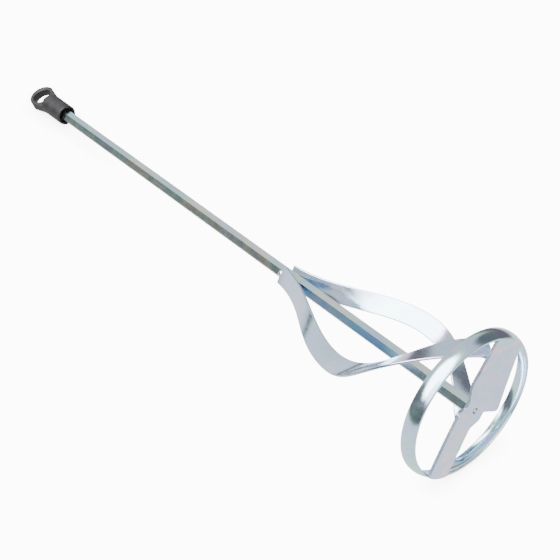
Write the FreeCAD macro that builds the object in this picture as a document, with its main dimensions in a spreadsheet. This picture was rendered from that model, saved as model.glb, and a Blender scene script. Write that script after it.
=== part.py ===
import FreeCAD, Part
import math
import os

import Sketcher
from FreeCAD import Placement, Rotation, Vector

# Mortar mixing paddle, in millimetres.
# +Z runs up the shaft to the drill end. The crossbar lies along X and repeats half a turn round
# the Z axis, as the blades do down to their last two stations. Heights here are measured from
# the ring's foot. The finished pieces are lifted together, so that Z = 0 becomes the lowest
# edge of the crossbar's wings.

doc = FreeCAD.newDocument("MortarPaddle")

# ---------------------------------------------------------------- driving dimensions

SIZES = [
    ("RingDiameter", 120, "ring, over the bulge"),
    ("RingHeight", 11.2, "height of the ring's band"),
    ("RingWall", 1.9, "thickness of the ring's band"),
    ("RingBend", 12.7, "radius of the band's outward bulge, in section"),
    ("BulgeHeight", 7.8, "height of the widest part of the bulge"),
    ("RimRound", 0.5, "rounding of the ring's rims"),
    ("HexFlats", 10, "hexagon bar, across flats"),
    ("HexTurn", 20, "turn of the bar's flats from the crossbar, degrees"),
    ("ShaftTop", 553, "height of the shank's end"),
    ("ShankChamfer", 1, "chamfer on the shank's end"),
    ("BladeWidth", 16, "flat bar of the blades, width"),
    ("BladeThickness", 2, "flat bar of the blades, thickness"),
    ("BladeRound", 0.7, "rounding of the flat bar's corners"),
    ("PlateThickness", 2.5, "crossbar plate"),
    ("BarDrop", 2.3, "the crossbar's front stands out of the ring's foot by this much, at the hub"),
    ("HubHalfWidth", 11.7, "half the crossbar's width at its middle"),
    ("StepOut", 3, "length of the step beside the hub"),
    ("LeadAtStep", 22.8, "leading edge from the crossbar's centre line, at the step"),
    ("TipReach", 62, "end of each wing before it is trimmed to the ring"),
    ("LeadAtTip", 8.8, "leading edge from the crossbar's centre line, at that end"),
    ("TrailAtTip", 16.4, "trailing edge from the crossbar's centre line, at that end"),
    ("StepRound", 3, "rounding of the step's corner"),
    ("PitchAtRoot", 11, "tilt of each wing beside the hub, degrees"),
    ("PitchAtTip", 4.8, "tilt of each wing at the ring, degrees"),
    ("PlugDiameter", 5, "plug weld in the hub"),
    ("CapDiameter", 19.4, "cap, outside"),
    ("CapMouth", 531, "height of the cap's mouth"),
    ("CapLength", 34, "cap, mouth to the top of its dome"),
    ("SocketDepth", 22.2, "depth of the cap's hexagon socket"),
    ("SocketGap", 0.05, "clearance between each flat and the socket"),
    ("MouthDiameter", 15.6, "round recess in the cap's mouth"),
    ("MouthDepth", 6, "depth of that recess"),
    ("LoopTop", 586, "height of the hanging loop's top"),
    ("LoopWidth", 24.8, "hanging loop, outside width"),
    ("LoopEye", 16, "hanging loop, eye diameter"),
    ("LoopThickness", 9, "hanging loop, across its strap"),
    ("LoopRound", 2, "rounding of the eye's edges"),
    ("MouthRound", 0.8, "rounding of the cap's mouth"),
    ("LoopTurn", 33, "turn of the loop's plane from the crossbar, degrees"),
]

sheet = doc.addObject("Spreadsheet::Sheet", "Sizes")
for row, (alias, value, note) in enumerate(SIZES, start=1):
    sheet.set(f"A{row}", alias)
    sheet.set(f"B{row}", str(value))
    sheet.set(f"C{row}", note)
    sheet.setAlias(f"B{row}", alias)
doc.recompute()


def size(alias):
    return float(sheet.get(alias))


# ---------------------------------------------------------------- helpers

HALF_TURN = Placement(Vector(0, 0, 0), Rotation(Vector(0, 0, 1), 180))


def origin_plane(body, role):
    return next(item for item in body.Origin.OriginFeatures if item.Role == role)


def new_body(name):
    return doc.addObject("PartDesign::Body", name)


def new_sketch(body, name, role, lift="0 mm"):
    """A sketch on one of the body's own origin planes, lifted off it by an expression."""
    sketch = body.newObject("Sketcher::SketchObject", name)
    sketch.AttachmentSupport = [(origin_plane(body, role), "")]
    sketch.MapMode = "FlatFace"
    sketch.setExpression("AttachmentOffset.Base.z", lift)
    return sketch


def closed_lines(sketch, points):
    """A closed chain of straight lines, with its corners joined."""
    count = len(points)
    for i in range(count):
        sketch.addGeometry(Part.LineSegment(points[i], points[(i + 1) % count]), False)
    for i in range(count):
        sketch.addConstraint(Sketcher.Constraint("Coincident", i, 2, (i + 1) % count, 1))


def place_point(sketch, curve, end, across, up):
    """Holds a curve's end at two expressions from the sketch's origin."""
    for kind, expression in (("DistanceX", across), ("DistanceY", up)):
        point = sketch.getPoint(curve, end)
        now = point.x if kind == "DistanceX" else point.y
        number = sketch.addConstraint(Sketcher.Constraint(kind, -1, 1, curve, end, now))
        sketch.setExpression(f"Constraints[{number}]", expression)


def hold_height(sketch, curve, end, expression):
    now = sketch.getPoint(curve, end).y
    number = sketch.addConstraint(Sketcher.Constraint("DistanceY", -1, 1, curve, end, now))
    sketch.setExpression(f"Constraints[{number}]", expression)


def set_radius(sketch, curve, expression):
    now = sketch.Geometry[curve].Radius
    number = sketch.addConstraint(Sketcher.Constraint("Radius", curve, now))
    sketch.setExpression(f"Constraints[{number}]", expression)


def hexagon(sketch, flats):
    """A hexagon round the origin, with two flats facing along X; flats is an expression."""
    corner = size("HexFlats") / math.sqrt(3)
    angles = [math.radians(30 + 60 * i) for i in range(6)]
    closed_lines(sketch, [Vector(corner * math.cos(a), corner * math.sin(a), 0) for a in angles])
    rim = sketch.addGeometry(Part.Circle(Vector(0, 0, 0), Vector(0, 0, 1), corner), True)
    sketch.addConstraint(Sketcher.Constraint("Coincident", rim, 3, -1, 1))
    for i in range(6):
        sketch.addConstraint(Sketcher.Constraint("PointOnObject", i, 1, rim))
    for i in range(5):
        sketch.addConstraint(Sketcher.Constraint("Equal", i, i + 1))
    sketch.addConstraint(Sketcher.Constraint("Vertical", 5))
    set_radius(sketch, rim, f"({flats}) / sqrt(3)")


def pad(body, sketch, name, length, midplane=False):
    feature = body.newObject("PartDesign::Pad", name)
    feature.Profile = sketch
    feature.Midplane = midplane
    feature.setExpression("Length", length)
    sketch.Visibility = False
    doc.recompute()
    return feature


def edges_where(shape, test):
    return [f"Edge{i}" for i, edge in enumerate(shape.Edges, start=1) if test(edge)]


def dress(body, kind, name, base, test, amount):
    """A Fillet or Chamfer on the edges of base that pass the test."""
    feature = body.newObject("PartDesign::" + kind, name)
    feature.Base = (base, edges_where(base.Shape, test))
    feature.setExpression("Radius" if kind == "Fillet" else "Size", amount)
    doc.recompute()
    return feature


def lies_at(edge, height):
    box = edge.BoundBox
    return abs(box.ZMin - height) < 1e-4 and abs(box.ZMax - height) < 1e-4


def is_upright(edge):
    box = edge.BoundBox
    return box.XLength < 1e-4 and box.YLength < 1e-4


def is_circle(edge):
    return isinstance(edge.Curve, Part.Circle)


def cut(name, base, *tools):
    """base less each of the tools, as one Part::Cut per tool."""
    result = base
    for number, tool in enumerate(tools, start=1):
        last = number == len(tools)
        feature = doc.addObject("Part::Cut", name if last else f"{name}_cut{number}")
        feature.Base = result
        feature.Tool = tool
        result = feature
    doc.recompute()
    return result


def group(name, members):
    feature = doc.addObject("Part::Compound", name)
    feature.Links = members
    doc.recompute()
    return feature


# ---------------------------------------------------------------- hexagon shaft

SHAFT_SPARE = 3       # extra length at the shaft's foot, trimmed off to the plate's back


def make_shaft_bar():
    """The hexagon bar, with spare length at its foot."""
    body = new_body("shaft_bar")
    sketch = new_sketch(body, "shaft_section", "XY_Plane")
    hexagon(sketch, "Sizes.HexFlats")
    bar = pad(body, sketch, "shaft_length", f"Sizes.ShaftTop + {SHAFT_SPARE}")
    top = size("ShaftTop") + SHAFT_SPARE
    dress(body, "Chamfer", "shank_chamfer", bar, lambda edge: lies_at(edge, top), "Sizes.ShankChamfer")
    body.Placement = Placement(Vector(0, 0, 0), Rotation(Vector(0, 0, 1), size("HexTurn")))
    body.setExpression("Placement.Base.z", f"-{SHAFT_SPARE}")
    body.setExpression("Placement.Rotation.Angle", "Sizes.HexTurn")
    doc.recompute()
    return body


# ---------------------------------------------------------------- crossbar

HUB_FLAT = 1          # the plate is level this far from the shaft's centre line
PITCH_RUN = 12.6      # length over which the tilt comes in
PITCH_TIP = 58        # where the tilt has fallen to its value at the tip
CREASE_SKEW = 0.31    # the wings bend along slanting lines: this much along X for each mm across
BLANK_REACH = 76
BLANK_HALF_WIDTH = 30
PIVOT_LINE = 4.8      # line that a wing tilts about, from the centre line towards its leading edge
WING_SLICES = 25      # slices of each wing, from the hub out
BLANK_DEPTH = 24      # depth of the cutters that trim the blank
BELOW_FOOT = 12       # how far they start below the foot plane
TRIM_DEPTH = 10       # depth of the block below the plate that trims what stands on it


def smooth_step(value):
    value = min(max(value, 0), 1)
    return value * value * (3 - 2 * value)


def wing_slope(reach):
    """Rise of the plate per millimetre across it, at a slanting line's distance from the hub."""
    root = HUB_FLAT + PITCH_RUN
    outward = max(reach - root, 0) / (PITCH_TIP - root)
    pitch = size("PitchAtRoot") + (size("PitchAtTip") - size("PitchAtRoot")) * outward
    return math.tan(math.radians(pitch)) * smooth_step((reach - HUB_FLAT) / PITCH_RUN)


def blank_section(side, reach, below):
    """A slanting slice of the plate, or from a depth below its front; trailing sides rise."""
    top = size("PlateThickness")
    corners = []
    for across, height in ((-1, -below), (1, -below), (1, top), (-1, top)):
        y = across * BLANK_HALF_WIDTH
        rise = (PIVOT_LINE - side * y) * wing_slope(reach)
        corners.append(Vector(side * reach - CREASE_SKEW * y, y, rise + height - size("BarDrop")))
    return Part.makePolygon(corners + corners[:1])


def make_outline():
    """The crossbar's outline: two wings, each the other's half turn."""
    body = new_body("crossbar_outline")
    sketch = new_sketch(body, "crossbar_shape", "XY_Plane", f"-{BELOW_FOOT} mm")
    wing = [("0", "Sizes.HubHalfWidth"), ("Sizes.StepOut", "Sizes.LeadAtStep"),
            ("Sizes.TipReach", "Sizes.LeadAtTip"), ("Sizes.TipReach", "-Sizes.TrailAtTip")]
    reach, step = size("TipReach"), size("StepOut")
    now = [(0, size("HubHalfWidth")), (step, size("LeadAtStep")),
           (reach, size("LeadAtTip")), (reach, -size("TrailAtTip"))]
    closed_lines(sketch, [Vector(side * x, side * y, 0) for side in (1, -1) for x, y in now])
    for side, first in ((1, 0), (-1, len(wing))):
        for i, (across, up) in enumerate(wing):
            place_point(sketch, first + i, 1, f"{side} * {across}", f"{side} * ({up})")
    prism = pad(body, sketch, "outline_prism", f"{BLANK_DEPTH} mm")
    dress(body, "Fillet", "step_round", prism,
          lambda edge: is_upright(edge) and abs(abs(edge.Vertexes[0].X) - step) < 1e-3, "Sizes.StepRound")
    return body


def make_blank(name, below=0):
    """The untrimmed plate: level at the hub, tilted outside it; below thickens it downwards."""
    run = BLANK_REACH - HUB_FLAT
    reaches = [HUB_FLAT + run * i / WING_SLICES for i in range(WING_SLICES + 1)]
    slices = [[blank_section(1, -HUB_FLAT, below), blank_section(1, HUB_FLAT, below)]]
    slices += [[blank_section(side, reach, below) for reach in reaches] for side in (1, -1)]
    pieces = []
    for sections in slices:
        piece = doc.addObject("Part::Feature", f"{name}_{len(pieces)}")
        piece.Shape = Part.makeLoft(sections, True, False)
        pieces.append(piece)
    blank = doc.addObject("Part::MultiFuse", name)
    blank.Shapes = pieces
    doc.recompute()
    return blank


# The outer radius of the ring's band at its foot.
FOOT_RADIUS = ("Sizes.RingDiameter / 2 - Sizes.RingBend"
               " + sqrt(Sizes.RingBend ^ 2 - Sizes.BulgeHeight ^ 2)")


def trimming_cylinder(name, radius):
    cylinder = doc.addObject("Part::Cylinder", name)
    cylinder.setExpression("Radius", radius)
    cylinder.Height = BLANK_DEPTH
    cylinder.Placement.Base = Vector(0, 0, -BELOW_FOOT)
    return cylinder


def make_crossbar():
    """The plate cut to its outline and to the ring's rim, with its plug hole."""
    plate = doc.addObject("Part::Common", "crossbar_plate")
    plate.Base = make_blank("crossbar_blank")
    plate.Tool = make_outline()
    trimmed = doc.addObject("Part::Common", "crossbar_trimmed")
    trimmed.Base = plate
    trimmed.Tool = trimming_cylinder("rim_disc", FOOT_RADIUS)
    hole = trimming_cylinder("plug_hole", "Sizes.PlugDiameter / 2")
    return cut("crossbar", trimmed, hole)


# ---------------------------------------------------------------- ring

def make_ring_band():
    """The band before it is notched: an outward bulge, drawn in towards the foot."""
    body = new_body("ring_band")
    sketch = new_sketch(body, "band_section", "XZ_Plane")
    height, bend, bulge = size("RingHeight"), size("RingBend"), size("BulgeHeight")
    middle = Vector(size("RingDiameter") / 2 - bend, bulge, 0)
    arcs = []
    for radius in (bend, bend - size("RingWall")):
        low, high = -math.asin(bulge / radius), math.asin((height - bulge) / radius)
        arcs.append(sketch.addGeometry(
            Part.ArcOfCircle(Part.Circle(middle, Vector(0, 0, 1), radius), low, high), False))
    face, back = arcs
    for end in (1, 2):
        rim = Part.LineSegment(sketch.getPoint(face, end), sketch.getPoint(back, end))
        rim = sketch.addGeometry(rim, False)
        sketch.addConstraint(Sketcher.Constraint("Coincident", face, end, rim, 1))
        sketch.addConstraint(Sketcher.Constraint("Coincident", back, end, rim, 2))
        sketch.addConstraint(Sketcher.Constraint("Horizontal", rim))
    sketch.addConstraint(Sketcher.Constraint("Coincident", face, 3, back, 3))
    place_point(sketch, face, 3, "Sizes.RingDiameter / 2 - Sizes.RingBend", "Sizes.BulgeHeight")
    hold_height(sketch, face, 1, "0 mm")
    hold_height(sketch, face, 2, "Sizes.RingHeight")
    set_radius(sketch, face, "Sizes.RingBend")
    set_radius(sketch, back, "Sizes.RingBend - Sizes.RingWall")
    turned = turn_profile(body, sketch, "band_turned")
    dress(body, "Fillet", "rim_round", turned,
          lambda edge: is_circle(edge) and (lies_at(edge, 0) or lies_at(edge, height)), "Sizes.RimRound")
    return body


# ---------------------------------------------------------------- blades

# The blade's centre line, from the shaft down to the crossbar, as stations that hold the
# height, the distance from the shaft's axis, the angle round it from the crossbar, and how
# far the flat bar is twisted from lying flat round the axis. Angles are in degrees.
BLADE_STATIONS = [
    (203, 6, -100, 0),
    (162, 21, -111, 10),
    (123, 41, -117, 35),
    (84, 51.5, -114, 55),
    (50, 54, -90, 65),
]
# The last two stations of each blade, which are bent by hand to meet the crossbar.
BLADE_FEET = {
    "blade_a": [(20, 50.5, -52, 10), (7, 42, -8, -40)],
    "blade_b": [(17, 44.5, -56, -40), (4.6, 30, -19, -80)],
}
BLADE_SLICES = 36


def smooth_curve(points):
    """A curve through the points, whose parameter counts them from 0."""
    curve = Part.BSplineCurve()
    curve.interpolate(Points=points, Parameters=[float(i) for i in range(len(points))])
    return curve


def blade_sections(stations):
    """Slices of the flat bar across its centre line, in order from the shaft."""
    path = smooth_curve([Vector(*station[:3]) for station in stations])
    twist = smooth_curve([Vector(i, station[3], 0) for i, station in enumerate(stations)])
    last = len(stations) - 1

    def centre(t):
        height, radius, angle = path.value(t)
        angle = math.radians(angle)
        return Vector(radius * math.cos(angle), radius * math.sin(angle), height)

    sections = []
    for i in range(BLADE_SLICES + 1):
        t = last * i / BLADE_SLICES
        before, after = max(t - 0.01, 0), min(t + 0.01, last)
        along = (centre(after) - centre(before)).normalize()
        outward = Vector(centre(t).x, centre(t).y, 0).normalize()
        outward = (outward - along * outward.dot(along)).normalize()
        turned = Rotation(along, -twist.value(t).y)
        across = turned.multVec(along.cross(outward))
        sections.append(bar_section(centre(t), across, turned.multVec(outward)))
    return sections


def bar_section(centre, across, outward):
    """The flat bar's rounded outline, centred and turned to the two directions."""
    half_width, half_thick = size("BladeWidth") / 2, size("BladeThickness") / 2
    rounding = size("BladeRound")
    mid = rounding * (1 - math.sqrt(0.5))

    def point(a, b):
        return centre + across * a + outward * b

    edges = []
    for sa, sb in ((1, 1), (-1, 1), (-1, -1), (1, -1)):
        corner_in = point(sa * half_width, sb * (half_thick - rounding))
        corner_mid = point(sa * (half_width - mid), sb * (half_thick - mid))
        corner_out = point(sa * (half_width - rounding), sb * half_thick)
        if sa * sb < 0:
            corner_in, corner_out = corner_out, corner_in
        if edges:
            edges.append(Part.makeLine(edges[-1].lastVertex().Point, corner_in))
        edges.append(Part.Arc(corner_in, corner_mid, corner_out).toShape())
    edges.append(Part.makeLine(edges[-1].lastVertex().Point, edges[0].firstVertex().Point))
    return Part.Wire(edges)


def make_blades(shaft, trim):
    """Both blades, with their feet trimmed to the crossbar's back."""
    blades = []
    for name, place in (("blade_a", Placement()), ("blade_b", HALF_TURN)):
        bar = doc.addObject("Part::Feature", name + "_bar")
        bar.Shape = Part.makeLoft(blade_sections(BLADE_STATIONS + BLADE_FEET[name]), True, False)
        bar.Placement = place
        blades.append(cut(name, bar, shaft, trim))
    return blades


# ---------------------------------------------------------------- cap

CAP_DOME = 5          # height over which the cap's top curves in
DOME_TOP = 0.72       # width of the dome's flat top, as a share of the cap's
LOOP_ROOT = 27        # height of the loop's root above the mouth
ROOT_INSET = 1        # the root stands in from the cap's side by this much


def turn_profile(body, sketch, name):
    feature = body.newObject("PartDesign::Revolution", name)
    feature.Profile = sketch
    feature.ReferenceAxis = (sketch, ["V_Axis"])
    feature.Angle = 360
    sketch.Visibility = False
    doc.recompute()
    return feature


def sink(body, sketch, name, depth):
    """A pocket up into the cap from its mouth."""
    before = body.Shape.Volume
    feature = body.newObject("PartDesign::Pocket", name)
    feature.Profile = sketch
    feature.Reversed = True
    feature.setExpression("Length", depth)
    sketch.Visibility = False
    doc.recompute()
    if body.Shape.Volume > before - 1:
        raise RuntimeError(f"{name} cuts nothing")


def make_loop(body):
    """The hanging loop: a flat eye that stands on the cap's top."""
    sketch = new_sketch(body, "loop_shape", "XZ_Plane")
    root, half = size("CapDiameter") / 2 - ROOT_INSET, size("LoopWidth") / 2
    top = size("LoopTop") - size("CapMouth")
    shoulder = top - half
    middle = Vector(0, shoulder, 0)
    bend = Part.ArcOfCircle(Part.Circle(middle, Vector(0, 0, 1), half), 0, math.pi)
    sketch.addGeometry(Part.LineSegment(Vector(-root, LOOP_ROOT, 0), Vector(root, LOOP_ROOT, 0)), False)
    sketch.addGeometry(Part.LineSegment(Vector(root, LOOP_ROOT, 0), Vector(half, shoulder, 0)), False)
    sketch.addGeometry(bend, False)
    sketch.addGeometry(Part.LineSegment(Vector(-half, shoulder, 0), Vector(-root, LOOP_ROOT, 0)), False)
    for ends in ((0, 2, 1, 1), (1, 2, 2, 1), (2, 2, 3, 1), (3, 2, 0, 1)):
        sketch.addConstraint(Sketcher.Constraint("Coincident", *ends))
    place_point(sketch, 0, 1, f"{ROOT_INSET} - Sizes.CapDiameter / 2", f"{LOOP_ROOT}")
    place_point(sketch, 0, 2, f"Sizes.CapDiameter / 2 - {ROOT_INSET}", f"{LOOP_ROOT}")
    place_point(sketch, 2, 3, "0 mm", "Sizes.LoopTop - Sizes.CapMouth - Sizes.LoopWidth / 2")
    set_radius(sketch, 2, "Sizes.LoopWidth / 2")
    hold_height(sketch, 2, 1, "Sizes.LoopTop - Sizes.CapMouth - Sizes.LoopWidth / 2")
    hold_height(sketch, 2, 2, "Sizes.LoopTop - Sizes.CapMouth - Sizes.LoopWidth / 2")
    pad(body, sketch, "loop_plate", "Sizes.LoopThickness", midplane=True)

    eye = new_sketch(body, "eye_shape", "XZ_Plane")
    eye.addGeometry(Part.Circle(middle, Vector(0, 0, 1), size("LoopEye") / 2), False)
    place_point(eye, 0, 3, "0 mm", "Sizes.LoopTop - Sizes.CapMouth - Sizes.LoopWidth / 2")
    set_radius(eye, 0, "Sizes.LoopEye / 2")
    hole = body.newObject("PartDesign::Pocket", "loop_eye")
    hole.Profile = eye
    hole.Midplane = True
    hole.setExpression("Length", "Sizes.LoopThickness + 2")
    eye.Visibility = False
    doc.recompute()
    return hole


def make_cap():
    body = new_body("shank_cap")
    radius, length = size("CapDiameter") / 2, size("CapLength")
    side = new_sketch(body, "cap_side", "XZ_Plane")
    closed_lines(side, [Vector(0, 0, 0), Vector(radius, 0, 0), Vector(radius, length - CAP_DOME, 0),
                        Vector(radius * DOME_TOP, length, 0), Vector(0, length, 0)])
    place_point(side, 0, 1, "0 mm", "0 mm")
    place_point(side, 0, 2, "Sizes.CapDiameter / 2", "0 mm")
    place_point(side, 1, 2, "Sizes.CapDiameter / 2", f"Sizes.CapLength - {CAP_DOME}")
    place_point(side, 2, 2, f"Sizes.CapDiameter / 2 * {DOME_TOP}", "Sizes.CapLength")
    place_point(side, 3, 2, "0 mm", "Sizes.CapLength")
    turned = turn_profile(body, side, "cap_turned")
    dress(body, "Fillet", "mouth_round", turned, lambda edge: is_circle(edge) and lies_at(edge, 0),
          "Sizes.MouthRound")
    eye = make_loop(body)
    face = size("LoopThickness") / 2
    dress(body, "Fillet", "loop_round", eye,
          lambda edge: is_circle(edge) and abs(abs(edge.CenterOfMass.y) - face) < 1e-4
          and abs(edge.Curve.Radius - size("LoopEye") / 2) < 1e-4, "Sizes.LoopRound")

    mouth = new_sketch(body, "mouth_shape", "XY_Plane")
    mouth.addGeometry(Part.Circle(Vector(0, 0, 0), Vector(0, 0, 1), size("MouthDiameter") / 2), False)
    mouth.addConstraint(Sketcher.Constraint("Coincident", 0, 3, -1, 1))
    set_radius(mouth, 0, "Sizes.MouthDiameter / 2")
    sink(body, mouth, "mouth_recess", "Sizes.MouthDepth")
    socket = new_sketch(body, "socket_shape", "XY_Plane")
    socket.setExpression("AttachmentOffset.Rotation.Angle", "Sizes.HexTurn - Sizes.LoopTurn")
    hexagon(socket, "Sizes.HexFlats + 2 * Sizes.SocketGap")
    sink(body, socket, "hexagon_socket", "Sizes.SocketDepth")

    body.Placement = Placement(Vector(0, 0, 0), Rotation(Vector(0, 0, 1), size("LoopTurn")))
    body.setExpression("Placement.Base.z", "Sizes.CapMouth")
    body.setExpression("Placement.Rotation.Angle", "Sizes.LoopTurn")
    doc.recompute()
    return body


# ---------------------------------------------------------------- welds

def polar(radius, angle, height):
    angle = math.radians(angle)
    return Vector(radius * math.cos(angle), radius * math.sin(angle), height)


def beads(name, places, reach, tools):
    """Oval beads at two places; reach is outward, round the axis and along it."""
    members = []
    for side, (radius, angle, height) in zip("ab", places):
        bead = doc.addObject("Part::Ellipsoid", f"{name}_{side}_oval")
        bead.Radius2, bead.Radius3, bead.Radius1 = reach
        bead.Placement = Placement(polar(radius, angle, height), Rotation(Vector(0, 0, 1), angle))
        members.append(cut(f"{name}_{side}", bead, *tools))
    return group(name, members)


PLUG_SINK = 0.2       # the plug weld's face lies this far behind the crossbar's
PLUG_SPARE = 1        # extra length behind it, trimmed off to the plate's back


def make_plug(below_back):
    """The plug weld: a button with a rounded-off face, filling the crossbar's hole."""
    body = new_body("plug_button")
    sketch = new_sketch(body, "plug_side", "XZ_Plane")
    radius, back = size("PlugDiameter") / 2, size("PlateThickness") + PLUG_SPARE
    brow, shoulder = PLUG_SINK * 1.5, PLUG_SINK * 4
    closed_lines(sketch, [Vector(0, PLUG_SINK, 0), Vector(radius * 0.6, brow, 0), Vector(radius, shoulder, 0),
                          Vector(radius, back, 0), Vector(0, back, 0)])
    place_point(sketch, 0, 1, "0 mm", f"{PLUG_SINK}")
    place_point(sketch, 0, 2, "Sizes.PlugDiameter * 0.3", f"{brow}")
    place_point(sketch, 1, 2, "Sizes.PlugDiameter / 2", f"{shoulder}")
    place_point(sketch, 2, 2, "Sizes.PlugDiameter / 2", f"Sizes.PlateThickness + {PLUG_SPARE}")
    place_point(sketch, 3, 2, "0 mm", f"Sizes.PlateThickness + {PLUG_SPARE}")
    turn_profile(body, sketch, "plug_turned")
    body.setExpression("Placement.Base.z", "-Sizes.BarDrop")
    plug = doc.addObject("Part::Common", "hub_plug_weld")
    plug.Base = body
    plug.Tool = below_back
    doc.recompute()
    return plug


FOOT_WELD_SINK = 0.6  # the foot weld starts this far inside the plate, which trims it


def make_foot_weld(shaft, below):
    """The fillet weld round the shaft where it stands on the crossbar's back."""
    cone = doc.addObject("Part::Cone", "foot_cone")
    cone.setExpression("Radius1", "Sizes.HexFlats * 0.8")
    cone.setExpression("Radius2", "Sizes.HexFlats * 0.6")
    cone.setExpression("Height", "Sizes.HexFlats * 0.26")
    cone.setExpression("Placement.Base.z", f"Sizes.PlateThickness - Sizes.BarDrop - {FOOT_WELD_SINK}")
    doc.recompute()
    return cut("shaft_foot_weld", cone, shaft, below)


RING_BEAD = 1.6                        # radius of the weld bead inside the ring
RING_BEAD_IN = 0.2                     # how far the bead's middle lies in from the wall
RING_BEAD_LIFT = 0.9                   # and above the crossbar's back
RING_BEAD_SWEEP = 21
RING_BEAD_STARTS = (("a", -14), ("b", 166))


def make_ring_welds(ring, below):
    """One bead at each end of the crossbar, along the ring's inside."""
    members = []
    for side, start in RING_BEAD_STARTS:
        bead = doc.addObject("Part::Torus", f"ring_bead_{side}")
        bead.setExpression("Radius1", f"{FOOT_RADIUS} - Sizes.RingWall - {RING_BEAD_IN}")
        bead.Radius2 = RING_BEAD
        bead.Angle3 = RING_BEAD_SWEEP
        bead.Placement = Placement(Vector(0, 0, size("PlateThickness") - size("BarDrop") + RING_BEAD_LIFT),
                                   Rotation(Vector(0, 0, 1), start))
        members.append(cut(f"ring_weld_{side}", bead, ring, below))
    return group("ring_welds", members)


# Half sizes of the oval beads: outward, round the shaft's axis and along it.
TOP_BEAD = (1.7, 3.4, 2.4)
FOOT_BEAD = (3, 2.4, 2)
TOP_BEAD_OUT, TOP_BEAD_UP = 0.2, 0.6   # from the blade's first station
FOOT_BEAD_IN, FOOT_BEAD_DOWN = 3, 3    # from its last


def make_blade_welds(tools):
    height, radius, angle = BLADE_STATIONS[0][:3]
    tops = [(radius + TOP_BEAD_OUT, angle + turn, height + TOP_BEAD_UP) for turn in (0, 180)]
    feet = []
    for name, turn in (("blade_a", 0), ("blade_b", 180)):
        height, radius, angle = BLADE_FEET[name][-1][:3]
        feet.append((radius - FOOT_BEAD_IN, angle + turn, height - FOOT_BEAD_DOWN))
    return [beads("blade_top_welds", tops, TOP_BEAD, tools),
            beads("blade_foot_welds", feet, FOOT_BEAD, tools)]


# ---------------------------------------------------------------- build

crossbar = make_crossbar()
below_plate = make_blank("below_plate", TRIM_DEPTH)
hex_shaft = cut("hex_shaft", make_shaft_bar(), below_plate)
bottom_ring = cut("bottom_ring", make_ring_band(), crossbar)
blade_a, blade_b = make_blades(hex_shaft, below_plate)

NODES = [
    hex_shaft,
    crossbar,
    bottom_ring,
    blade_a,
    blade_b,
    make_plug(below_plate),
    make_foot_weld(hex_shaft, below_plate),
    make_ring_welds(bottom_ring, below_plate),
    *make_blade_welds([hex_shaft, below_plate, blade_a, blade_b]),
    make_cap(),
]
doc.recompute()
for item in doc.Objects:
    bad = [word for word in item.State if word in ("Invalid", "Error")]
    if bad:
        raise RuntimeError(f"{item.Name} is {bad}")
lift = -min(node.Shape.optimalBoundingBox().ZMin for node in NODES)
print("lift", round(lift, 3))
os.makedirs("parts", exist_ok=True)
for node in NODES:
    shape = node.Shape.copy()
    shape.translate(Vector(0, 0, lift))
    if shape.isNull() or not shape.isValid() or not shape.Solids:
        raise RuntimeError(f"{node.Label} has no valid solid")
    shape.exportStep(f"parts/{node.Label}.step")
    print(node.Label, len(shape.Solids), round(shape.Volume, 1))
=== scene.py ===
"""A mortar mixing paddle lying on a white floor. Metres; the frame is the CAD's own."""

import math

import bmesh
import bpy
from mathutils import Matrix, Quaternion, Vector


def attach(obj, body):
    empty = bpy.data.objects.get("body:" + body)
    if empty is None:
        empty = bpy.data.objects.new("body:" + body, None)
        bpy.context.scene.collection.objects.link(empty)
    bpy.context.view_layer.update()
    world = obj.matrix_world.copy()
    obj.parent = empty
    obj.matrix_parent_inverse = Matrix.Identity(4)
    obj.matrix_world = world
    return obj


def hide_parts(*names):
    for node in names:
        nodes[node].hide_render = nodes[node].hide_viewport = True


MM = 0.001

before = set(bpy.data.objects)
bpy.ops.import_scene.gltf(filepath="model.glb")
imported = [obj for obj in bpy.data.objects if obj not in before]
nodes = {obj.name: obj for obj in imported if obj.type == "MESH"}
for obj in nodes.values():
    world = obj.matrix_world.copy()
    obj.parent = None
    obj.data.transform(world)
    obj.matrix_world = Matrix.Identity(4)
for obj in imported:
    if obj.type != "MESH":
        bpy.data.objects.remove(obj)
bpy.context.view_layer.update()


# ---------------------------------------------------------------- node helpers

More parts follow.
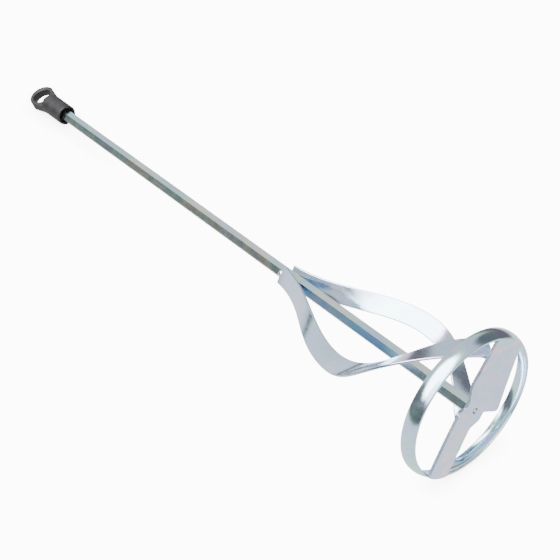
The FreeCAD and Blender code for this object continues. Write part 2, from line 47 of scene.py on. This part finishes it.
class Shader:
    """A node tree with short calls for the nodes used here."""

    def __init__(self, tree):
        self.tree = tree
        tree.nodes.clear()

    def add(self, kind, **inputs):
        node = self.tree.nodes.new("ShaderNode" + kind)
        for name, value in inputs.items():
            self.feed(node, name.replace("_", " "), value)
        return node

    def feed(self, node, name, value):
        socket = node.inputs[name]
        if isinstance(value, bpy.types.NodeSocket):
            self.tree.links.new(value, socket)
        else:
            socket.default_value = value

    def math(self, operation, a, b=0.0, clamp=False):
        node = self.tree.nodes.new("ShaderNodeMath")
        node.operation = operation
        node.use_clamp = clamp
        for i, value in enumerate((a, b)):
            if isinstance(value, bpy.types.NodeSocket):
                self.tree.links.new(value, node.inputs[i])
            else:
                node.inputs[i].default_value = value
        return node.outputs[0]

    def dot(self, vector, direction):
        node = self.tree.nodes.new("ShaderNodeVectorMath")
        node.operation = "DOT_PRODUCT"
        self.tree.links.new(vector, node.inputs[0])
        node.inputs[1].default_value = direction
        return node.outputs["Value"]

    def length(self, vector):
        node = self.tree.nodes.new("ShaderNodeVectorMath")
        node.operation = "LENGTH"
        self.tree.links.new(vector, node.inputs[0])
        return node.outputs["Value"]

    def ramp(self, factor, stops, smooth=True):
        """Stops are (place, colour or grey)."""
        node = self.tree.nodes.new("ShaderNodeValToRGB")
        node.color_ramp.interpolation = "EASE" if smooth else "LINEAR"
        elements = node.color_ramp.elements
        while len(elements) < len(stops):
            elements.new(0.5)
        for element, (place, colour) in zip(elements, stops):
            if not isinstance(colour, tuple):
                colour = (colour, colour, colour)
            element.position = place
            element.color = (*colour, 1)
        self.tree.links.new(factor, node.inputs["Fac"])
        return node.outputs["Color"]

    def noise(self, vector, scale, detail=2.0, roughness=0.5, distortion=0.0):
        node = self.add("TexNoise", Scale=scale, Detail=detail, Roughness=roughness,
                        Distortion=distortion)
        self.tree.links.new(vector, node.inputs["Vector"])
        return node.outputs["Fac"]

    def stretch(self, vector, scale):
        node = self.tree.nodes.new("ShaderNodeMapping")
        node.inputs["Scale"].default_value = scale
        self.tree.links.new(vector, node.inputs["Vector"])
        return node.outputs["Vector"]

    def mix(self, factor, a, b, mode="MIX"):
        node = self.tree.nodes.new("ShaderNodeMix")
        node.data_type = "RGBA"
        node.blend_type = mode
        for name, value in (("Factor", factor), ("A", a), ("B", b)):
            socket = next(s for s in node.inputs if s.name == name and s.enabled)
            if isinstance(value, bpy.types.NodeSocket):
                self.tree.links.new(value, socket)
            elif name == "Factor":
                socket.default_value = value
            else:
                socket.default_value = (*value, 1)
        return next(s for s in node.outputs if s.enabled)


def heading(azimuth, rise):
    """A direction from its azimuth and its height, in degrees."""
    azimuth, rise = math.radians(azimuth), math.radians(rise)
    return Vector((math.cos(azimuth) * math.cos(rise), math.sin(azimuth) * math.cos(rise), math.sin(rise)))


def new_material(name):
    material = bpy.data.materials.new(name)
    material.use_nodes = True
    return material, Shader(material.node_tree)


# ---------------------------------------------------------------- metal and rubber

# The tints of bright passivated zinc, from the cool to the warm.
TEAL = (0.52, 0.76, 0.80)
BLUE = (0.55, 0.68, 0.86)
LILAC = (0.66, 0.68, 0.88)
PINK = (0.84, 0.68, 0.76)
STRAW = (0.74, 0.78, 0.72)

MOTTLE_SPAN = (0.36, 0.64)             # part of the noise's range that the tints are spread over
LINE_SCALE = 900.0                     # noise scale of the drawing lines
CLOUD_SCALE = 140.0                    # and of the cloudy patches, which change shade and gloss
CLOUD_GLOSS = 0.22
LINE_GLOSS = 0.06
LINE_DEPTH = 0.05 * MM
BEVEL_SAMPLES = 6

# Painted shade: one flat of the bar is painted darker below the blades' tops. Heights are shares of the
# painted shade's reach.
SHADED_FLAT = -100                    # azimuth that the flat faces
FLAT_MATCH = 0.95                      # cosine within which a face counts as on that flat
PAINTED_SHADE_REACH = 553 * MM
PAINTED_SHADE = [
    (0.12, (0.80, 0.90, 1.0)),
    (0.17, (0.30, 0.40, 0.50)),
    (0.35, (0.30, 0.38, 0.46)),
    (0.40, (1.0, 0.98, 0.90)),
]


def zinc(name, tints, roughness, stretch=(1, 1, 1), mottle=22.0, edge=0.35, shaded_flat=None):
    """Zinc plate over steel: patches of tint, drawing lines, clouds and softened edges; given a flat,
    painted shade on that flat.
    """
    material, s = new_material(name)
    place = s.add("TexCoord").outputs["Object"]
    patches = s.noise(place, mottle, detail=3.0, roughness=0.55, distortion=0.6)
    low, high = MOTTLE_SPAN
    step = (high - low) / (len(tints) - 1)
    colour = s.ramp(patches, [(low + step * i, tint) for i, tint in enumerate(tints)])
    lines = s.noise(s.stretch(place, stretch), LINE_SCALE, detail=3.0, roughness=0.6)
    colour = s.mix(0.35, colour, s.ramp(lines, [(0.3, 0.78), (0.7, 1.0)]), "MULTIPLY")
    cloud = s.noise(place, CLOUD_SCALE, detail=4.0, roughness=0.6)
    colour = s.mix(0.25, colour, s.ramp(cloud, [(0.35, 0.82), (0.6, 1.0)]), "MULTIPLY")
    # Painted shade: the flat that faces the given azimuth is painted darker over a band of heights.
    if shaded_flat is not None:
        facing = s.dot(s.add("TexCoord").outputs["Normal"], heading(shaded_flat, 0))
        on_flat = s.math("GREATER_THAN", facing, FLAT_MATCH)
        painted_band = s.ramp(s.dot(place, (0, 0, 1 / PAINTED_SHADE_REACH)), PAINTED_SHADE)
        colour = s.mix(on_flat, colour, s.mix(1.0, colour, painted_band, "MULTIPLY"))
    spread = s.math("MULTIPLY", s.math("SUBTRACT", cloud, 0.5), CLOUD_GLOSS)
    streaks = s.math("MULTIPLY", lines, LINE_GLOSS)
    rough = s.math("ADD", s.math("ADD", spread, roughness), streaks, clamp=True)
    soft_edge = s.add("Bevel", Radius=edge * MM)
    soft_edge.samples = BEVEL_SAMPLES
    bump = s.add("Bump", Strength=0.12, Distance=LINE_DEPTH, Height=lines)
    s.feed(bump, "Normal", soft_edge.outputs["Normal"])
    metal = s.add("BsdfPrincipled", Metallic=1.0)
    s.feed(metal, "Base Color", colour)
    s.feed(metal, "Roughness", rough)
    s.feed(metal, "Normal", bump.outputs["Normal"])
    s.feed(s.add("OutputMaterial"), "Surface", metal.outputs["BSDF"])
    return material


def weld_metal():
    """Plated weld bead: ripples from the torch and a few dark pits."""
    material, s = new_material("weld_zinc")
    place = s.add("TexCoord").outputs["Object"]
    lumps = s.noise(place, 650.0, detail=3.0, roughness=0.6, distortion=0.8)
    colour = s.ramp(lumps, [(0.28, (0.34, 0.36, 0.38)), (0.45, (0.76, 0.79, 0.81)),
                            (0.7, (0.9, 0.91, 0.92))])
    bump = s.add("Bump", Strength=0.7, Distance=0.35 * MM, Height=lumps)
    metal = s.add("BsdfPrincipled", Metallic=1.0, Roughness=0.24)
    s.feed(metal, "Base Color", colour)
    s.feed(metal, "Normal", bump.outputs["Normal"])
    s.feed(s.add("OutputMaterial"), "Surface", metal.outputs["BSDF"])
    return material


PLUG_RADIUS = 2.5 * MM


def plug_metal():
    """The plug weld's face: a painted highlight in the middle inside a ring of painted shade."""
    material, s = new_material("plug_zinc")
    place = s.add("TexCoord").outputs["Object"]
    across = s.math("DIVIDE", s.length(s.stretch(place, (1, 1, 0))), PLUG_RADIUS)
    # Painted highlight in the middle and painted shade in a ring around it, lighter again at the rim.
    colour = s.ramp(across, [(0.35, (0.86, 0.89, 0.91)), (0.60, (0.10, 0.11, 0.12)),
                             (0.86, (0.16, 0.17, 0.18)), (1.0, (0.70, 0.73, 0.77))])
    metal = s.add("BsdfPrincipled", Metallic=1.0, Roughness=0.3)
    s.feed(metal, "Base Color", colour)
    s.feed(s.add("OutputMaterial"), "Surface", metal.outputs["BSDF"])
    return material


def cap_rubber():
    """Matt black moulded rubber: a fine sandy grain, dusty where it has been handled."""
    material, s = new_material("cap_rubber")
    place = s.add("TexCoord").outputs["Object"]
    grain = s.noise(place, 2600.0, detail=2.0, roughness=0.6)
    dust = s.noise(place, 160.0, detail=4.0, roughness=0.6)
    colour = s.ramp(dust, [(0.35, (0.004, 0.004, 0.005)), (0.65, (0.010, 0.010, 0.012))])
    bump = s.add("Bump", Strength=0.35, Distance=0.12 * MM, Height=grain)
    rubber = s.add("BsdfPrincipled", Roughness=0.55)
    s.feed(rubber, "Base Color", colour)
    s.feed(rubber, "Roughness", s.math("ADD", s.math("MULTIPLY", dust, 0.3), 0.38))
    s.feed(rubber, "Normal", bump.outputs["Normal"])
    s.feed(s.add("OutputMaterial"), "Surface", rubber.outputs["BSDF"])
    return material


def dress(obj, material):
    obj.data.materials.clear()
    obj.data.materials.append(material)


ALONG_SHAFT = (1, 1, 0.02)
ROUND_RING = (1, 1, 6)
bar_zinc = zinc("bar_zinc", (BLUE, TEAL, STRAW, BLUE), 0.16, ALONG_SHAFT, mottle=14.0,
                shaded_flat=SHADED_FLAT)
blade_zinc = zinc("blade_zinc", (TEAL, BLUE, BLUE, LILAC), 0.13, mottle=20.0)
ring_zinc = zinc("ring_zinc", (TEAL, BLUE, TEAL, LILAC), 0.13, ROUND_RING, mottle=24.0)
plate_zinc = zinc("plate_zinc", (BLUE, LILAC, BLUE, PINK, TEAL), 0.30, mottle=26.0)
weld = weld_metal()

dress(nodes["hex_shaft"], bar_zinc)
dress(nodes["bottom_ring"], ring_zinc)
dress(nodes["crossbar"], plate_zinc)
for name in ("blade_a", "blade_b"):
    dress(nodes[name], blade_zinc)
dress(nodes["hub_plug_weld"], plug_metal())
for name in ("shaft_foot_weld", "ring_welds", "blade_top_welds", "blade_foot_welds"):
    dress(nodes[name], weld)


# ---------------------------------------------------------------- cap, as a moulded piece

MOULD_VOXEL = 0.45 * MM
MOULD_SMOOTHING = 5


SOCKET_GROWTH = 1.01                   # the socket over the shank, 0.05 mm larger on each flat
SOCKET_END = 0.2 * MM                  # room past the shank's end


def clear_socket(cap):
    """Cuts the socket sharp again, a little larger than the shank."""
    cutter = bpy.data.objects.new("socket_cutter", nodes["hex_shaft"].data.copy())
    cutter.data.transform(Matrix.Translation((0, 0, SOCKET_END))
                          @ Matrix.Diagonal((SOCKET_GROWTH, SOCKET_GROWTH, 1, 1)))
    bpy.context.scene.collection.objects.link(cutter)
    carve = cap.modifiers.new("socket", "BOOLEAN")
    carve.operation = "DIFFERENCE"
    carve.solver = "EXACT"
    carve.object = cutter
    graph = bpy.context.evaluated_depsgraph_get()
    cap.data = bpy.data.meshes.new_from_object(cap.evaluated_get(graph))
    cap.modifiers.clear()
    bpy.data.objects.remove(cutter)


def mould_cap(source):
    """The cap with its moulded, rounded edges, from a fine remesh of its CAD solid."""
    cap = bpy.data.objects.new("shank_cap_moulded", source.data.copy())
    bpy.context.scene.collection.objects.link(cap)
    remesh = cap.modifiers.new("mould", "REMESH")
    remesh.mode = "VOXEL"
    remesh.voxel_size = MOULD_VOXEL
    remesh.use_smooth_shade = True
    relax = cap.modifiers.new("relax", "SMOOTH")
    relax.iterations = MOULD_SMOOTHING
    relax.factor = 0.5
    graph = bpy.context.evaluated_depsgraph_get()
    cap.data = bpy.data.meshes.new_from_object(cap.evaluated_get(graph))
    cap.modifiers.clear()
    clear_socket(cap)
    return cap


cap = mould_cap(nodes["shank_cap"])
dress(cap, cap_rubber())
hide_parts("shank_cap")
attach(cap, "cap")


# ---------------------------------------------------------------- floor

FLOOR_SIDE = 140.0                     # azimuth, from the shaft, of the side the paddle lies on
FLOOR_REACH = 6.0
FLOOR_GAP = 0.2 * MM

toward_floor = Vector((math.cos(math.radians(FLOOR_SIDE)), math.sin(math.radians(FLOOR_SIDE)), 0))


def lowest_point(node):
    return max((v.co for v in nodes[node].data.vertices), key=lambda p: p.dot(toward_floor)).copy()


# The paddle lies on its ring and its cap, so the floor runs through the lowest point of each.
ring_rest, cap_rest = lowest_point("bottom_ring"), lowest_point("shank_cap")
up = (cap_rest - ring_rest).cross(Vector((0, 0, 1)).cross(toward_floor)).normalized()
if up.dot(toward_floor) > 0:
    up = -up
floor_level = min(v.co.dot(up) for node in nodes.values() for v in node.data.vertices) - FLOOR_GAP

WHITE = 12.0                           # radiance that the view shows as white
SHADE_REACH = 16 * MM
PAPER_LIGHT = 1.6                      # radiance of the paper as the metal sees it
PAPER_EDGE = (0.35, 0.9)               # distances over which the paper ends and the dark room starts


def floor_material():
    """White paper with a painted contact shadow where the paddle touches it; nothing from below."""
    material, s = new_material("floor_white")
    contact = s.add("AmbientOcclusion", Distance=SHADE_REACH)
    contact.samples = 8
    shade = s.ramp(contact.outputs["AO"], [(0.0, 0.30), (0.55, 0.72), (1.0, 1.0)], smooth=False)
    seen = s.add("Emission", Color=shade, Strength=WHITE)
    away = s.length(s.add("TexCoord").outputs["Object"])
    paper = s.ramp(away, [(PAPER_EDGE[0], 1.0), (PAPER_EDGE[1], 0.12)])
    bounced = s.add("Emission", Color=paper, Strength=PAPER_LIGHT)
    path = s.add("LightPath")
    lit = s.add("MixShader", Fac=path.outputs["Is Camera Ray"])
    s.tree.links.new(bounced.outputs[0], lit.inputs[1])
    s.tree.links.new(seen.outputs[0], lit.inputs[2])
    side = s.add("MixShader", Fac=s.add("NewGeometry").outputs["Backfacing"])
    s.tree.links.new(lit.outputs[0], side.inputs[1])
    s.tree.links.new(s.add("BsdfTransparent").outputs[0], side.inputs[2])
    s.feed(s.add("OutputMaterial"), "Surface", side.outputs[0])
    return material


def make_floor():
    shape = bmesh.new()
    bmesh.ops.create_grid(shape, x_segments=2, y_segments=2, size=FLOOR_REACH)
    mesh = bpy.data.meshes.new("floor")
    shape.to_mesh(mesh)
    shape.free()
    floor = bpy.data.objects.new("floor", mesh)
    bpy.context.scene.collection.objects.link(floor)
    floor.matrix_world = (Matrix.Translation(up * floor_level)
                          @ up.to_track_quat("Z", "Y").to_matrix().to_4x4())
    dress(floor, floor_material())


make_floor()


# ---------------------------------------------------------------- camera

CAMERA_PLACE = Vector((184.0, -764.7, -396.4)) * MM
LOOK_AZIMUTH, LOOK_RISE = 104.02, 37.65
CAMERA_ROLL = 53.82
LENS, SENSOR = 79.84, 36.0


look = heading(LOOK_AZIMUTH, LOOK_RISE)


def make_camera():
    data = bpy.data.cameras.new("camera")
    data.sensor_width = SENSOR
    data.lens = LENS
    data.clip_start = 0.01
    camera = bpy.data.objects.new("camera", data)
    bpy.context.scene.collection.objects.link(camera)
    level = look.to_track_quat("-Z", "Y")
    roll = Quaternion(look, math.radians(CAMERA_ROLL))
    camera.matrix_world = Matrix.Translation(CAMERA_PLACE) @ (roll @ level).to_matrix().to_4x4()
    bpy.context.scene.camera = camera


make_camera()


# ---------------------------------------------------------------- surroundings

forward = (look - up * look.dot(up)).normalized()
studio = Matrix((forward, up.cross(forward), up)).transposed()

ROOM_LIGHT = 1.15
HORIZON_DARK = 0.16                    # share of the room's light that is left along the horizon
# The studio's panels and dark flags: azimuth to the left of the way the camera looks, height
# above the floor, half width and softness, all in degrees; then the radiance.
PANELS = [
    (45, 0, 24, 10, 1.5),              # bounce board
    (98, 6, 24, 8, 0.26),              # flag
    (140, 6, 20, 8, 0.16),             # flag
    (132, 62, 27, 10, 13.0),           # overhead light
    (165, 38, 12, 6, 6.0),             # side light
    (-52, 26, 22, 10, 0.22),           # flag
]


def make_surroundings():
    """A dark room with two lights, a bounce board and dark flags; the camera sees it as white."""
    world = bpy.data.worlds.new("studio")
    bpy.context.scene.world = world
    world.use_nodes = True
    s = Shader(world.node_tree)
    way = s.add("TexCoord").outputs["Generated"]
    height = s.dot(way, up)
    light = s.ramp(height, [(0.0, HORIZON_DARK), (0.18, HORIZON_DARK * 2), (0.42, 1.0), (1.0, 1.0)])
    light = s.mix(1.0, light, (ROOM_LIGHT, ROOM_LIGHT, ROOM_LIGHT), "MULTIPLY")
    for azimuth, rise, half, soft, radiance in PANELS:
        toward = studio @ heading(azimuth, rise)
        inner, outer = (math.cos(math.radians(angle)) for angle in (half, half + soft))
        near = s.math("DIVIDE", s.math("SUBTRACT", s.dot(way, toward), outer), inner - outer, clamp=True)
        light = s.mix(near, light, (radiance, radiance, radiance))
    seen = s.add("Background", Color=(1, 1, 1, 1), Strength=WHITE)
    bounced = s.add("Background", Color=light, Strength=1.0)
    both = s.add("MixShader", Fac=s.add("LightPath").outputs["Is Camera Ray"])
    s.tree.links.new(bounced.outputs[0], both.inputs[1])
    s.tree.links.new(seen.outputs[0], both.inputs[2])
    s.feed(s.add("OutputWorld"), "Surface", both.outputs[0])


make_surroundings()
